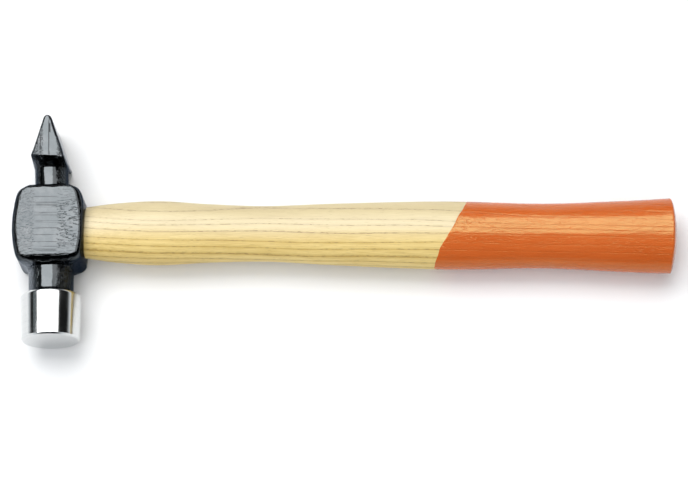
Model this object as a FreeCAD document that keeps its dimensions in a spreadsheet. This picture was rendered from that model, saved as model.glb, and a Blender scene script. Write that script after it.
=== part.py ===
"""Cross peen hammer: forged head, hickory handle and the wedges that lock them.

The frame: the hammer lies on one cheek. The origin is under the middle of the eye, on the
surface that the lower cheek rests on. +X runs along the handle from the head to the butt,
+Y runs along the head towards the peen, and +Z is up, out of the other cheek.
All lengths are in millimetres.
"""
import FreeCAD
import Part
import Sketcher
import math
import os

DIMENSIONS = {
    # eye block, with the eye's middle at its origin
    "block_half_width": 19.7,
    "block_side_radius": 64.0,
    "block_peen_end": 23.2,
    "block_poll_end": 21.2,
    "block_thickness": 32.4,
    "block_corner_radius": 6.4,
    "cheek_edge_radius": 4.2,
    "eye_flat": 18.0,
    # eye: an hourglass, narrowest in the middle
    "eye_entry_half_length": 12.9,
    "eye_entry_half_width": 8.6,
    "eye_waist_half_length": 12.3,
    "eye_waist_half_width": 8.2,
    "eye_top_half_length": 14.0,
    "eye_top_half_width": 10.2,
    "eye_reach": 21.0,
    "hang_angle": 2.0,
    # poll and its neck
    "poll_neck_radius": 11.9,
    "neck_flare": 0.8,
    "poll_shoulder": 35.2,
    "poll_top_radius": 16.1,
    "poll_face_radius": 15.5,
    "poll_rim": 60.1,
    "poll_crown_radius": 240.0,
    "poll_shoulder_round": 1.8,
    "poll_rim_chamfer": 0.8,
    # peen and its neck
    "peen_neck_radius": 9.0,
    "peen_base": 38.2,
    "peen_flare_start": 34.2,
    "peen_half_width": 9.0,
    "peen_half_depth": 16.0,
    "peen_tip": 61.3,
    "peen_tip_radius": 2.4,
    "peen_tip_sine": 0.375,
    "peen_edge_radius": 0.9,
    # handle: half widths and half thicknesses of its oval sections
    "shoulder_place": 18.7,
    "shoulder_half_width": 14.0,
    "shoulder_half_thickness": 9.4,
    "shoulder_bevel": 0.6,
    "neck_place": 36.0,
    "neck_half_width": 16.2,
    "neck_half_thickness": 11.4,
    "swell_place": 56.0,
    "swell_half_width": 17.4,
    "swell_half_thickness": 12.5,
    "taper_place": 82.0,
    "taper_half_width": 16.0,
    "taper_half_thickness": 11.4,
    "waist_place": 112.0,
    "waist_half_width": 15.1,
    "waist_half_thickness": 10.6,
    "rise_place": 150.0,
    "rise_half_width": 16.7,
    "rise_half_thickness": 11.9,
    "grip_place": 208.0,
    "grip_half_width": 18.4,
    "grip_half_thickness": 13.2,
    "hollow_place": 266.0,
    "hollow_half_width": 17.5,
    "hollow_half_thickness": 12.9,
    "flare_place": 305.0,
    "flare_half_width": 19.2,
    "flare_half_thickness": 13.9,
    "butt_place": 333.0,
    "butt_half_width": 20.4,
    "butt_half_thickness": 14.6,
    "butt_apex": 332.0,
    "butt_dome_radius": 68.0,
    "butt_dome_reach": 24.0,
    # tenon end and wedges
    "tenon_recess": 0.8,
    "kerf_depth": 30.0,
    "kerf_half_top": 2.6,
    "kerf_half_root": 0.4,
    "steel_wedge_place": 5.6,
    "steel_wedge_depth": 15.0,
    "steel_wedge_half_top": 1.3,
    "steel_wedge_half_tip": 0.25,
    "steel_wedge_half_width": 4.5,
    # the cutting sketches reach past everything that they cut
    "reach": 40.0,
}

HANDLE_STATIONS = (
    "shoulder", "neck", "swell", "taper", "waist", "rise", "grip", "hollow", "flare", "butt",
)
STEEL_WEDGES = {
    "steel_wedge_peen_side": "Size.steel_wedge_place",
    "steel_wedge_poll_side": "-Size.steel_wedge_place",
}
TOLERANCE = 1e-3

doc = FreeCAD.newDocument("CrossPeenHammer")
sheet = doc.addObject("Spreadsheet::Sheet", "Size")
for row, (alias, number) in enumerate(DIMENSIONS.items(), start=1):
    sheet.set("A%d" % row, alias)
    sheet.set("B%d" % row, str(number))
    sheet.setAlias("B%d" % row, alias)
doc.recompute()


def size(expression):
    """What an expression over the sheet's cells comes to."""
    return float(sheet.evalExpression(expression))


# ---------------------------------------------------------------- sketches

def new_body(label):
    body = doc.addObject("PartDesign::Body", label)
    body.Label = label
    return body


def new_sketch(body, name, plane, distance="0", lean="0"):
    """Sketch on one of the body's own planes, moved along its normal.

    lean is an angle in degrees that turns the plane back about the sketch's second axis.
    """
    support = next(item for item in body.Origin.OriginFeatures if item.Role == plane + "_Plane")
    sketch = body.newObject("Sketcher::SketchObject", name)
    sketch.AttachmentSupport = [(support, "")]
    sketch.MapMode = "FlatFace"
    second_axis_back = FreeCAD.Vector(0, -1, 0)
    sketch.AttachmentOffset = FreeCAD.Placement(
        FreeCAD.Vector(0, 0, 0), FreeCAD.Rotation(second_axis_back, size(lean))
    )
    sketch.setExpression("AttachmentOffset.Base.x", "-(%s) * sin(%s)" % (distance, lean))
    sketch.setExpression("AttachmentOffset.Base.z", "(%s) * cos(%s)" % (distance, lean))
    return sketch


def add_size(sketch, kind, where, expression):
    """Dimension of the given kind, bound to the sheet."""
    number = sketch.addConstraint(Sketcher.Constraint(kind, *where, size(expression)))
    sketch.setExpression("Constraints[%d]" % number, expression)


def arc_between(first, last, radius):
    """Arc of a signed radius from first to last: positive travels counter-clockwise."""
    chord = last - first
    normal = FreeCAD.Vector(-chord.y, chord.x, 0).normalize()
    rise = math.sqrt(radius ** 2 - (chord.Length / 2) ** 2)
    centre = first + chord / 2 + normal * math.copysign(rise, radius)
    begin, end = (first, last) if radius > 0 else (last, first)
    angles = [math.atan2(point.y - centre.y, point.x - centre.x) for point in (begin, end)]
    circle = Part.Circle(centre, FreeCAD.Vector(0, 0, 1), abs(radius))
    return Part.ArcOfCircle(circle, angles[0], angles[1])


def add_outline(sketch, corners, arcs=None):
    """Closed outline through the corners, each a pair of expressions.

    arcs maps the number of an edge to the expression of its radius, negative where the
    outline travels clockwise along it. Every other edge is straight.
    """
    arcs = arcs or {}
    points = [FreeCAD.Vector(size(across), size(along), 0) for across, along in corners]
    ends = []
    for edge, (first, last) in enumerate(zip(points, points[1:] + points[:1])):
        radius = size(arcs[edge]) if edge in arcs else 0
        shape = arc_between(first, last, radius) if radius else Part.LineSegment(first, last)
        geometry = sketch.addGeometry(shape, False)
        ends.append((geometry, 2, 1) if radius < 0 else (geometry, 1, 2))
    for edge, (geometry, begin, end) in enumerate(ends):
        following, its_begin, _ = ends[(edge + 1) % len(ends)]
        sketch.addConstraint(Sketcher.Constraint("Coincident", geometry, end, following, its_begin))
        across, along = corners[edge]
        add_size(sketch, "DistanceX", (-1, 1, geometry, begin), across)
        add_size(sketch, "DistanceY", (-1, 1, geometry, begin), along)
        if edge in arcs:
            add_size(sketch, "Radius", (geometry,), arcs[edge].lstrip("-"))


def add_oval(sketch, half_length, half_width):
    """Ellipse about the sketch's origin, its long axis along the sketch's first axis."""
    ellipse = Part.Ellipse(FreeCAD.Vector(0, 0, 0), size(half_length), size(half_width))
    geometry = sketch.addGeometry(ellipse, False)
    sketch.exposeInternalGeometry(geometry)
    long_axis, short_axis = geometry + 1, geometry + 2
    sketch.addConstraint(Sketcher.Constraint("Coincident", geometry, 3, -1, 1))
    sketch.addConstraint(Sketcher.Constraint("Horizontal", long_axis))
    add_size(sketch, "Distance", (long_axis,), "2 * " + half_length)
    add_size(sketch, "Distance", (short_axis,), "2 * " + half_width)


# ---------------------------------------------------------------- features

def extrude(body, name, sketch, depth, cut=False):
    """Pad or pocket of a total depth, half to each side of the sketch."""
    feature = body.newObject("PartDesign::Pocket" if cut else "PartDesign::Pad", name)
    feature.Profile = sketch
    feature.SideType = "Symmetric"
    feature.setExpression("Length", depth)


def turn_about(body, name, sketch, axis, cut=False):
    feature = body.newObject("PartDesign::Groove" if cut else "PartDesign::Revolution", name)
    feature.Profile = sketch
    feature.ReferenceAxis = (sketch, [axis])
    feature.Angle = 360


def loft(body, name, sketches, cut=False):
    kind = "PartDesign::SubtractiveLoft" if cut else "PartDesign::AdditiveLoft"
    feature = body.newObject(kind, name)
    feature.Profile = sketches[0]
    feature.Sections = sketches[1:]


def round_edges(body, name, radius, wanted, chamfer=False):
    """Fillet or chamfer on the edges of the body so far that wanted accepts."""
    doc.recompute()
    base = body.Tip
    edges = enumerate(base.Shape.Edges, start=1)
    names = ["Edge%d" % number for number, edge in edges if wanted(edge)]
    if not names:
        raise RuntimeError(name + " finds no edges")
    feature = body.newObject("PartDesign::Chamfer" if chamfer else "PartDesign::Fillet", name)
    feature.Base = (base, names)
    feature.setExpression("Size" if chamfer else "Radius", radius)


def is_level(edge):
    return edge.BoundBox.ZLength < TOLERANCE


def is_upright(edge):
    """Whether the edge runs the block's whole thickness."""
    return abs(edge.BoundBox.ZLength - size("Size.block_thickness")) < TOLERANCE


def is_ring(edge, along, radius):
    """Whether the edge is the ring about the head's axis at this place and radius."""
    box = edge.BoundBox
    at_place = box.YLength < TOLERANCE and abs(box.YMin - size(along)) < TOLERANCE
    return at_place and abs(box.XMax - size(radius)) < TOLERANCE


def is_poll_shoulder(edge):
    return is_ring(edge, "-Size.poll_shoulder", "Size.poll_top_radius")


def is_poll_rim(edge):
    return is_ring(edge, "-Size.poll_rim", "Size.poll_face_radius")


def is_end_edge_of_peen(edge):
    """Whether the edge borders one of the wedge's two flat ends."""
    box = edge.BoundBox
    at_end = abs(abs(box.ZMin) - size("Size.peen_half_depth")) < TOLERANCE
    return is_level(edge) and at_end and box.YMin > size("Size.peen_base") - TOLERANCE


# ---------------------------------------------------------------- the eye, shared by three pieces

def eye_sketches(body, lean="0"):
    """The eye's ovals, from the handle's side over the waist to the flared top."""
    places = {"entry": "Size.eye_reach", "waist": "0", "top": "-Size.eye_reach"}
    sketches = []
    for name, distance in places.items():
        sketch = new_sketch(body, "Eye" + name.capitalize(), "YZ", distance, lean)
        oval = "Size.eye_%s_half_" % name
        add_oval(sketch, oval + "length", oval + "width")
        sketches.append(sketch)
    return sketches


def add_eye(body, name, sketches, cut=False):
    """Two lofts that meet at the waist."""
    entry, waist, top = sketches
    loft(body, name + "Entry", [entry, waist], cut)
    loft(body, name + "Top", [waist, top], cut)


def bow_depth(half_length):
    """How far the block's bowed side falls back this far along the head from its middle."""
    return "(%s) ^ 2 / (2 * Size.block_side_radius)" % half_length


def trim_tenon(body):
    """Cut the tenon's end to the curve of the block's side, a little inside it."""
    half_length = "Size.reach / 2"
    corner = "%s + Size.tenon_recess - Size.block_half_width" % bow_depth(half_length)
    sketch = new_sketch(body, "TenonEnd", "XY")
    add_outline(
        sketch,
        [
            (corner, "-" + half_length),
            (corner, half_length),
            ("-Size.reach", half_length),
            ("-Size.reach", "-" + half_length),
        ],
        arcs={0: "-Size.block_side_radius"},
    )
    extrude(body, "TrimTenon", sketch, "2 * Size.reach", cut=True)


# ---------------------------------------------------------------- head

def add_eye_block(head):
    """Block with bowed sides, flat ends and flat cheeks, its edges rounded."""
    poll_corner = "Size.block_half_width - " + bow_depth("Size.block_poll_end")
    peen_corner = "Size.block_half_width - " + bow_depth("Size.block_peen_end")
    sketch = new_sketch(head, "BlockOutline", "XY")
    add_outline(
        sketch,
        [
            (poll_corner, "-Size.block_poll_end"),
            (peen_corner, "Size.block_peen_end"),
            ("-(%s)" % peen_corner, "Size.block_peen_end"),
            ("-(%s)" % poll_corner, "-Size.block_poll_end"),
        ],
        arcs={0: "Size.block_side_radius", 2: "Size.block_side_radius"},
    )
    extrude(head, "Block", sketch, "Size.block_thickness")
    round_edges(head, "BlockCorners", "Size.block_corner_radius", is_upright)
    round_edges(head, "CheekEdges", "Size.cheek_edge_radius", is_level)


def cut_eye_flat(head):
    """Flat around the eye on the handle's side, square to the handle."""
    distance = "Size.eye_flat + Size.reach / 2"
    low, high = "-Size.reach / 2", "Size.reach / 2"
    sketch = new_sketch(head, "EyeFlatOutline", "YZ", distance, "Size.hang_angle")
    add_outline(sketch, [(low, low), (high, low), (high, high), (low, high)])
    extrude(head, "EyeFlat", sketch, "Size.reach", cut=True)


def add_poll(head):
    """Neck and striking poll, turned about the head's axis, with a crowned face."""
    crown = "Size.poll_crown_radius - sqrt(Size.poll_crown_radius ^ 2 - Size.poll_face_radius ^ 2)"
    sketch = new_sketch(head, "PollProfile", "XY")
    add_outline(
        sketch,
        [
            ("0", "-Size.poll_rim - (%s)" % crown),
            ("Size.poll_face_radius", "-Size.poll_rim"),
            ("Size.poll_top_radius", "-Size.poll_shoulder"),
            ("Size.poll_neck_radius", "-Size.poll_shoulder"),
            ("Size.poll_neck_radius", "-Size.block_poll_end - Size.neck_flare"),
            ("Size.poll_neck_radius + Size.neck_flare", "-Size.block_poll_end"),
            ("Size.poll_neck_radius + Size.neck_flare", "-Size.block_poll_end / 2"),
            ("0", "-Size.block_poll_end / 2"),
        ],
        arcs={0: "Size.poll_crown_radius", 4: "-Size.neck_flare"},
    )
    turn_about(head, "Poll", sketch, "V_Axis")
    round_edges(head, "PollShoulder", "Size.poll_shoulder_round", is_poll_shoulder)
    round_edges(head, "PollRim", "Size.poll_rim_chamfer", is_poll_rim, chamfer=True)


def add_peen(head):
    """Round neck, then the wedge whose edge lies across the handle's plane of swing."""
    neck = new_sketch(head, "PeenNeckProfile", "XY")
    add_outline(
        neck,
        [
            ("0", "Size.block_peen_end / 2"),
            ("Size.peen_neck_radius + Size.neck_flare", "Size.block_peen_end / 2"),
            ("Size.peen_neck_radius + Size.neck_flare", "Size.block_peen_end"),
            ("Size.peen_neck_radius", "Size.block_peen_end + Size.neck_flare"),
            ("Size.peen_neck_radius", "Size.peen_base"),
            ("0", "Size.peen_base"),
        ],
        arcs={2: "-Size.neck_flare"},
    )
    turn_about(head, "PeenNeck", neck, "V_Axis")
    add_wedge_of_peen(head)


def add_wedge_of_peen(head):
    """Wedge between two flanks that run into a round tip, undercut towards the neck."""
    cosine = "sqrt(1 - Size.peen_tip_sine ^ 2)"
    tip_half = "Size.peen_tip_radius * " + cosine
    tip_start = "Size.peen_tip - Size.peen_tip_radius * (1 - Size.peen_tip_sine)"
    profile = new_sketch(head, "PeenProfile", "XY")
    add_outline(
        profile,
        [
            ("Size.peen_half_width", "Size.peen_flare_start - Size.neck_flare"),
            ("Size.peen_half_width", "Size.peen_base"),
            (tip_half, tip_start),
            ("-" + tip_half, tip_start),
            ("-Size.peen_half_width", "Size.peen_base"),
            ("-Size.peen_half_width", "Size.peen_flare_start - Size.neck_flare"),
        ],
        arcs={2: "Size.peen_tip_radius"},
    )
    extrude(head, "Peen", profile, "2 * Size.peen_half_depth")
    for name, side in (("UndercutUp", ""), ("UndercutDown", "-")):
        sketch = new_sketch(head, name + "Profile", "YZ")
        corners = [
            ("Size.peen_base", side + "Size.peen_half_depth"),
            ("Size.peen_base", side + "Size.reach"),
            ("Size.block_peen_end + Size.neck_flare", side + "Size.reach"),
            ("Size.block_peen_end + Size.neck_flare", side + "Size.peen_neck_radius"),
            ("Size.peen_flare_start", side + "Size.peen_neck_radius"),
        ]
        add_outline(sketch, corners)
        extrude(head, name, sketch, "2 * Size.reach", cut=True)
    round_edges(head, "PeenEdges", "Size.peen_edge_radius", is_end_edge_of_peen)


def make_head():
    head = new_body("hammer_head")
    add_eye_block(head)
    cut_eye_flat(head)
    add_poll(head)
    add_peen(head)
    add_eye(head, "Eye", eye_sketches(head, "Size.hang_angle"), cut=True)
    return head


# ---------------------------------------------------------------- handle

def shaft_oval(handle, station, less=""):
    """Oval at a station; less is taken off its place and both its half sizes."""
    sketch = new_sketch(handle, station + "_oval", "YZ", "Size.%s_place%s" % (station, less))
    half_sizes = ["(Size.%s_half_%s%s)" % (station, side, less) for side in ("width", "thickness")]
    add_oval(sketch, *half_sizes)
    return sketch


def add_shaft(handle):
    """Oval shaft lofted from the shoulder to the butt, with a bevelled shoulder."""
    ovals = [shaft_oval(handle, station) for station in HANDLE_STATIONS]
    loft(handle, "Shaft", ovals)
    bevel = shaft_oval(handle, HANDLE_STATIONS[0], less=" - Size.shoulder_bevel")
    loft(handle, "ShoulderBevel", [bevel, ovals[0]])


def dome_butt(handle):
    """Turn the butt's end to a shallow dome and break its rim."""
    depth = "Size.butt_dome_radius - sqrt(Size.butt_dome_radius ^ 2 - Size.butt_dome_reach ^ 2)"
    rim = "Size.butt_apex - (%s)" % depth
    sketch = new_sketch(handle, "DomeProfile", "XY")
    add_outline(
        sketch,
        [
            ("Size.butt_apex", "0"),
            ("Size.butt_apex + Size.reach", "0"),
            ("Size.butt_apex + Size.reach", "Size.butt_dome_reach"),
            (rim, "Size.butt_dome_reach"),
        ],
        arcs={3: "-Size.butt_dome_radius"},
    )
    turn_about(handle, "ButtDome", sketch, "H_Axis", cut=True)


def add_taper(sketch, root, half_top, half_root, middle="0"):
    """Tapered outline along the first axis, from past the tenon's end to the root."""
    add_outline(
        sketch,
        [
            (root, "%s + %s" % (middle, half_root)),
            ("-Size.eye_reach", "%s + %s" % (middle, half_top)),
            ("-Size.eye_reach", "%s - %s" % (middle, half_top)),
            (root, "%s - %s" % (middle, half_root)),
        ],
    )


def add_kerf_outline(sketch):
    root = "Size.kerf_depth - Size.block_half_width"
    add_taper(sketch, root, "Size.kerf_half_top", "Size.kerf_half_root")


def add_steel_wedge_outline(sketch, middle):
    root = "Size.steel_wedge_depth - Size.block_half_width"
    add_taper(sketch, root, "Size.steel_wedge_half_top", "Size.steel_wedge_half_tip", middle)


def cut_steel_wedge_slots(body):
    for name, middle in STEEL_WEDGES.items():
        sketch = new_sketch(body, name + "_slot_profile", "XY")
        add_steel_wedge_outline(sketch, middle)
        extrude(body, name + "_slot", sketch, "2 * Size.steel_wedge_half_width", cut=True)


def make_handle():
    handle = new_body("handle")
    add_shaft(handle)
    dome_butt(handle)
    add_eye(handle, "Tenon", eye_sketches(handle))
    trim_tenon(handle)
    kerf = new_sketch(handle, "KerfProfile", "XZ")
    add_kerf_outline(kerf)
    extrude(handle, "Kerf", kerf, "Size.reach", cut=True)
    cut_steel_wedge_slots(handle)
    return handle


# ---------------------------------------------------------------- wedges

def make_wooden_wedge():
    """Wedge that fills the kerf, as broad as the eye, with slots for the steel wedges."""
    wedge = new_body("wooden_wedge")
    add_eye(wedge, "Envelope", eye_sketches(wedge))
    trim_tenon(wedge)
    sketch = new_sketch(wedge, "WedgeProfile", "XZ")
    add_kerf_outline(sketch)
    low, high = "-Size.reach", "Size.reach"
    add_outline(sketch, [(low, low), (high, low), (high, high), (low, high)])
    extrude(wedge, "Sides", sketch, "2 * Size.reach", cut=True)
    cut_steel_wedge_slots(wedge)
    return wedge


def make_steel_wedge(label, middle):
    wedge = new_body(label)
    sketch = new_sketch(wedge, "WedgeProfile", "XY")
    add_steel_wedge_outline(sketch, middle)
    extrude(wedge, "Wedge", sketch, "2 * Size.steel_wedge_half_width")
    trim_tenon(wedge)
    return wedge


# ---------------------------------------------------------------- the whole hammer

def place(piece, turn="0"):
    """Lift the piece so that the lower cheek is at Z = 0, and turn it about the eye."""
    piece.Placement = FreeCAD.Placement(
        FreeCAD.Vector(0, 0, 0), FreeCAD.Rotation(FreeCAD.Vector(0, 0, 1), size(turn))
    )
    piece.setExpression("Placement.Base.z", "Size.block_thickness / 2")
    if turn != "0":
        piece.setExpression("Placement.Rotation.Angle", turn)


def check_and_write(pieces):
    for item in doc.Objects:
        if "Invalid" in item.State or "Error" in item.State:
            raise RuntimeError("%s: %s" % (item.Name, item.State))
    os.makedirs("parts", exist_ok=True)
    for piece in pieces:
        shape = piece.Shape
        if shape.isNull() or not shape.isValid() or len(shape.Solids) != 1:
            raise RuntimeError(piece.Label + " is not one valid solid")
        shape.exportStep("parts/%s.step" % piece.Label)
        print("%-20s %10.1f mm3" % (piece.Label, shape.Volume))


head = make_head()
place(head, "Size.hang_angle")
tenon_pieces = [make_handle(), make_wooden_wedge()]
tenon_pieces += [make_steel_wedge(label, middle) for label, middle in STEEL_WEDGES.items()]
for piece in tenon_pieces:
    place(piece)
doc.recompute()
check_and_write([head] + tenon_pieces)
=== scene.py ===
"""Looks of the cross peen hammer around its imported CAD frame. Metres, in the CAD's frame."""
import math

import bmesh
import bpy
import numpy as np
from mathutils import Matrix, Vector


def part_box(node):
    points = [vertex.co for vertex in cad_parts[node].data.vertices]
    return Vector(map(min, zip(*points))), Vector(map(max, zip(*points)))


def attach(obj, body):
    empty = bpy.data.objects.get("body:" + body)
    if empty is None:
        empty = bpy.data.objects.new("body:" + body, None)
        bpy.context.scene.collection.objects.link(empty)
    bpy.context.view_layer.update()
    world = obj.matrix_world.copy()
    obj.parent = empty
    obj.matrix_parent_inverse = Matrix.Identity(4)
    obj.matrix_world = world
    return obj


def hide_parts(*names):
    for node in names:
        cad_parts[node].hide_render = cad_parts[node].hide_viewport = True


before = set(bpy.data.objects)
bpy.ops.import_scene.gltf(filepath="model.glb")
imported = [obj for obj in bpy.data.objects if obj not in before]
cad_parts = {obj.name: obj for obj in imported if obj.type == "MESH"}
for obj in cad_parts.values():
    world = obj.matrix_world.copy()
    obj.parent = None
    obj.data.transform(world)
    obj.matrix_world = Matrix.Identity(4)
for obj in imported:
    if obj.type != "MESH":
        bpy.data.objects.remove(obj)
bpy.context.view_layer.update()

MM = 0.001
EYE_HEIGHT = 16.2
HANG_ANGLE = math.radians(2.0)
SHARP_ANGLE = math.radians(38)

# ---------------------------------------------------------------- numbers of the head, mm

BLOCK_HALF_WIDTH, BLOCK_SIDE_RADIUS, BLOCK_HALF_DEPTH = 19.7, 64.0, 16.2
POLL_END, PEEN_END = 21.2, 23.2
PLAN_CORNER = 6.4
CHEEK_EDGE = 4.2
POLL_CHEEK_EDGE = 5.0
STEEPNESS_PAST_END = 6
NECK_BLEND = 1.8
CROWN_RADIUS, FACE_RADIUS, RIM = 240.0, 15.5, 60.1
RIM_CHAMFER, RIM_SWELL = 0.8, 0.02
SHOULDER, TOP_RADIUS, SHOULDER_ROUND = 35.2, 16.1, 1.8
NECK_RADIUS, NECK_FILLET = 11.9, 2.3
PEEN_NECK = 9.0
FLARE_START, PEEN_BASE = 34.2, 38.2
PEEN_HALF_WIDTH, PEEN_HALF_DEPTH, PEEN_EDGE = 9.0, 16.0, 0.9
PEEN_CORNER, FLARE_HOLLOW = 1.8, 1.45
PEEN_TIP, TIP_RADIUS, TIP_SINE = 61.3, 2.4, 0.375
TIP_END_HALF_WIDTH = 0.02

# the block's side at the handle is flat. Below these heights it is fuller, and is then cut off
# at the CAD's box, so the flat has a sharp edge there
EYE_FLAT, FLAT_BLEND = 18.0, 0.9
FULLNESS, FULLNESS_SPAN = 1.1, (-8, -13)
FLAT_FROM_POLL, FLAT_FROM_PEEN = (-24, -22), (26, 24)

# numbers of rings on the poll, from the middle of its face
FACE_RINGS, CHAMFER_RINGS, SIDE_RINGS, SHOULDER_RINGS, HOLLOW_RINGS = 26, 7, 30, 12, 10
# how many of the shoulder's rings are bright steel
BRIGHT_SHOULDER_RINGS = 9
# the face's first radius, a curve's first share, and the first steps of each part
FIRST_RADIUS, FIRST_SHARE, FIRST_STEP = 0.3, 0.08, 0.15
BLOCK_STEP, PEEN_STEP = 0.4, 0.3
TIP_RINGS, TIP_TURN = 16, (25, 89.3)
HEAD_AROUND = 264

# place along the head, distance between rings there
BLOCK_SPACING = np.array([
    (-34, 0.7), (-23.5, 0.4), (-21.4, 0.07), (-20.6, 0.10), (-17, 0.32), (-10, 0.55), (0, 0.6),
    (14, 0.5), (20, 0.25), (23.0, 0.06), (24.2, 0.25), (28, 0.5), (33, 0.4),
])
PEEN_SPACING = np.array([(34, 0.3), (37.6, 0.16), (38.2, 0.14), (39.5, 0.38), (59, 0.4)])

# ---------------------------------------------------------------- numbers of the forging, mm

# place along the head where the forging marks begin
FORGED_FROM = (-SHOULDER - 0.2, -SHOULDER + 2)
# wavelength and seed of each kind of unevenness
BROAD_MARKS, MIDDLE_MARKS, FINE_MARKS = (9.0, 11), (2.6, 12), (0.95, 13)
RAGGED_BASE, RAGGED_ENDS = ((2.2, 50.0, 2.2), 14), ((2.6, 50.0, 2.6), 15)
BROAD_DEPTH, BROAD_DEPTH_LESS_ON_CHEEKS = 0.20, 0.16
MIDDLE_DEPTH, MIDDLE_DEPTH_MORE_ON_WEDGE, MIDDLE_SHARE_LESS_ON_CHEEKS = 0.08, 0.05, 0.9
FINE_DEPTH, FINE_DEPTH_MORE_ON_WEDGE, FINE_SHARE_LESS_ON_CHEEKS = 0.025, 0.02, 0.85
MEAN_DEPTH = 0.16
SHARE_LESS_ON_RIGHT_FLANK = 0.85
# place across the wedge's cheeks and half width of each groove there
GROOVES, GROOVE_DEPTH, GROOVES_END = ((-3.1, 0.45), (1.3, 0.4)), 0.26, (60, 56)
# heights and places over which the cheeks and the wedge begin
CHEEK_HEIGHTS, CHEEK_FROM_POLL, CHEEK_FROM_PEEN = (15.2, 16.1), (-19, -16), (22, 19)
WEDGE_CHEEK_HEIGHTS, WEDGE_CHEEK_FROM = (15.2, 15.9), (37.6, 38.8)
WEDGE_FROM, RIGHT_FLANK_FROM, FACING_RIGHT = (33, 38), (37, 39), (0.55, 0.85)
PEEN_LEAN, WEDGE_TWIST, LEAN_FROM = 0.012, 0.026, (20, 38)
BASE_SLANT, SLANT_REACH, SLANT_HEIGHTS = 0.11, 3.2, (-8, 8)
RAGGEDNESS, RAGGED_BASE_REACH = 0.42, 1.6
# the block's ends, how far their raggedness reaches and the heights where it begins
BLOCK_ENDS, RAGGED_ENDS_REACH, RAGGED_HEIGHTS = (-19.5, 22.0), 2.6, (9, 13)

# ---------------------------------------------------------------- numbers of the handle, mm

# place along the handle, half width, half thickness
STATIONS = np.array([
    (18.4, 14.0, 9.4), (36.0, 16.2, 11.4), (56.0, 17.4, 12.5), (82.0, 16.0, 11.4),
    (112.0, 15.1, 10.6), (150.0, 16.7, 11.9), (208.0, 18.4, 13.2), (266.0, 17.5, 12.9),
    (305.0, 19.2, 13.9), (333.0, 20.4, 14.6),
])
# place, half length, half width of the eye, from its flared top to the handle's side
EYE = np.array([(-21.0, 14.0, 10.2), (0.0, 12.3, 8.2), (21.0, 12.9, 8.6)])
# the eye's cutter: points around, its first point's share of a step, which keeps its points off
# the head's own, depths of its rings below the block's side, and how deep the rim is broken
EYE_AROUND, EYE_FIRST_POINT = 144, 0.3
EYE_RING_DEPTHS, EYE_RIM = (-3.0, 0.0, 0.15, 0.5, 2.0, 8.0), 0.45
TENON_END = 18.9
TENON_GAP = 0.06
# place from which the tenon's rings begin to bow like the block's side
TENON_BOW_FROM = -6
TENON_SHARES, TENON_RIM_SHARE, TENON_RINGS = (0.03, 0.97), 0.988, 12
SHOULDER_START = 18.1
BUTT_APEX, DOME_RADIUS, BUTT_ROUND = 332.0, 68.0, 0.9
SHAFT_END, BUTT_OUTLINE = BUTT_APEX - 6, BUTT_APEX - 2
# rings of the butt's side, rim and dome, and the shares over which each is spaced
BUTT_SIDE_RINGS, BUTT_ROUND_RINGS, DOME_RINGS = 9, 9, 22
BUTT_SIDE_SHARES, FIRST_RIM_SHARE, DOME_SHARES = (0.12, 1), 0.1, (0.96, 0.02)
DOME_INSET, APEX_INSET = 0.01, 0.005
LACQUER_LINE, LACQUER_SLANT, LACQUER_DEPTH = 213.0, 9.0, 0.14
LACQUER_LIP, LACQUER_REACH = 0.5, 26
# depth, waves around and start of each wave of the lacquer's edge
LACQUER_WAVES = ((0.5, 3, 0.6), (0.2, 7, 2.0), (0.1, 13, 0.0))
# how far the shaft wavers, over which lengths along and across, and the seed
WAVERS = ((0.12, (60.0, 14.0, 14.0), 21), (0.035, (22.0, 5.0, 5.0), 22))
WAVER_FROM, WAVER_TO = (20, 28), (331, 322)
SIDEWAYS_BOW, BOW_FROM, BOW_TO = 0.4, (110, 200), (331, 306)
# root's place, half thickness at the root and at the tenon's end, half width
KERF, SLOT = (10.3, 0.4, 2.66, 16.0), (-4.7, 0.25, 1.4, 4.5)
SLOT_PLACE = 5.6
CUTTER_START, CUTTER_OVERSHOOT = -24.0, 0.12
HANDLE_AROUND = 192

# place along the handle, distance between rings there
BARE_SPACING = np.array([
    (-19, 0.9), (16, 0.9), (17.9, 0.10), (19, 0.15), (28, 0.8), (200, 0.85), (212.4, 0.16),
])
LACQUER_STEP = 0.08
LACQUERED_SPACING = np.array([(213, 0.08), (214, 0.2), (216, 0.85), (300, 0.85), (326, 0.5)])

# ---------------------------------------------------------------- numbers of the materials, mm

# edges of the zones of black paint, across or along the head
ZONE_WOBBLE = 4
BLOCK_FROM_POLL, BLOCK_FROM_PEEN = (-21, -18), (24, 21)
BLOCK_LEFT, BLOCK_RIGHT = (-6.0, -8.5), (4.0, 6.0)
NECK_MIDDLE, BESIDE_NECK_MIDDLE = 0.8, (4.2, 6.2)
UNDER_CHEEKS = (13.2, 11.2)
ON_WEDGE = (36.5, 38.0)
WEDGE_LEFT, WEDGE_LEFT_SCALE = (-2.4, -3.8), 0.55
# RIGHT_FLANK and LEFT_SIDE mark the wedge's right flank and the necks' left sides, where the
# paint's reflections are painted brighter
RIGHT_FLANK, RIGHT_FLANK_SLOPE = (7.8, 8.4), 0.3125
LEFT_SIDE, LEFT_SIDE_END, LEFT_SIDE_SHARE = (-7.2, -9.2), (37.5, 36.5), 0.8
MIDWAY, MIDWAY_SHARES = (15.0, 10.5), (0.35, 1.0)
RUGGEDNESS = 2.6
BLACK, WORN_BLACK = (0.0465, 0.0510, 0.0535), (0.0535, 0.0575, 0.0600)
# a lighter black on the necks' left sides, a painted reflection
PAINTED_REFLECTION_BLACK = (0.11, 0.12, 0.13)
# the paint's tint at grazing angles, near white where brighter reflections are painted on
PAINT_TINT, PAINTED_REFLECTION_TINT = (0.29, 0.32, 0.38), (0.90, 0.94, 1.0)

STEEL, BRIGHT_STEEL, DULL_STEEL = (0.56, 0.575, 0.58), (0.70, 0.705, 0.70), (0.40, 0.42, 0.43)

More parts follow.
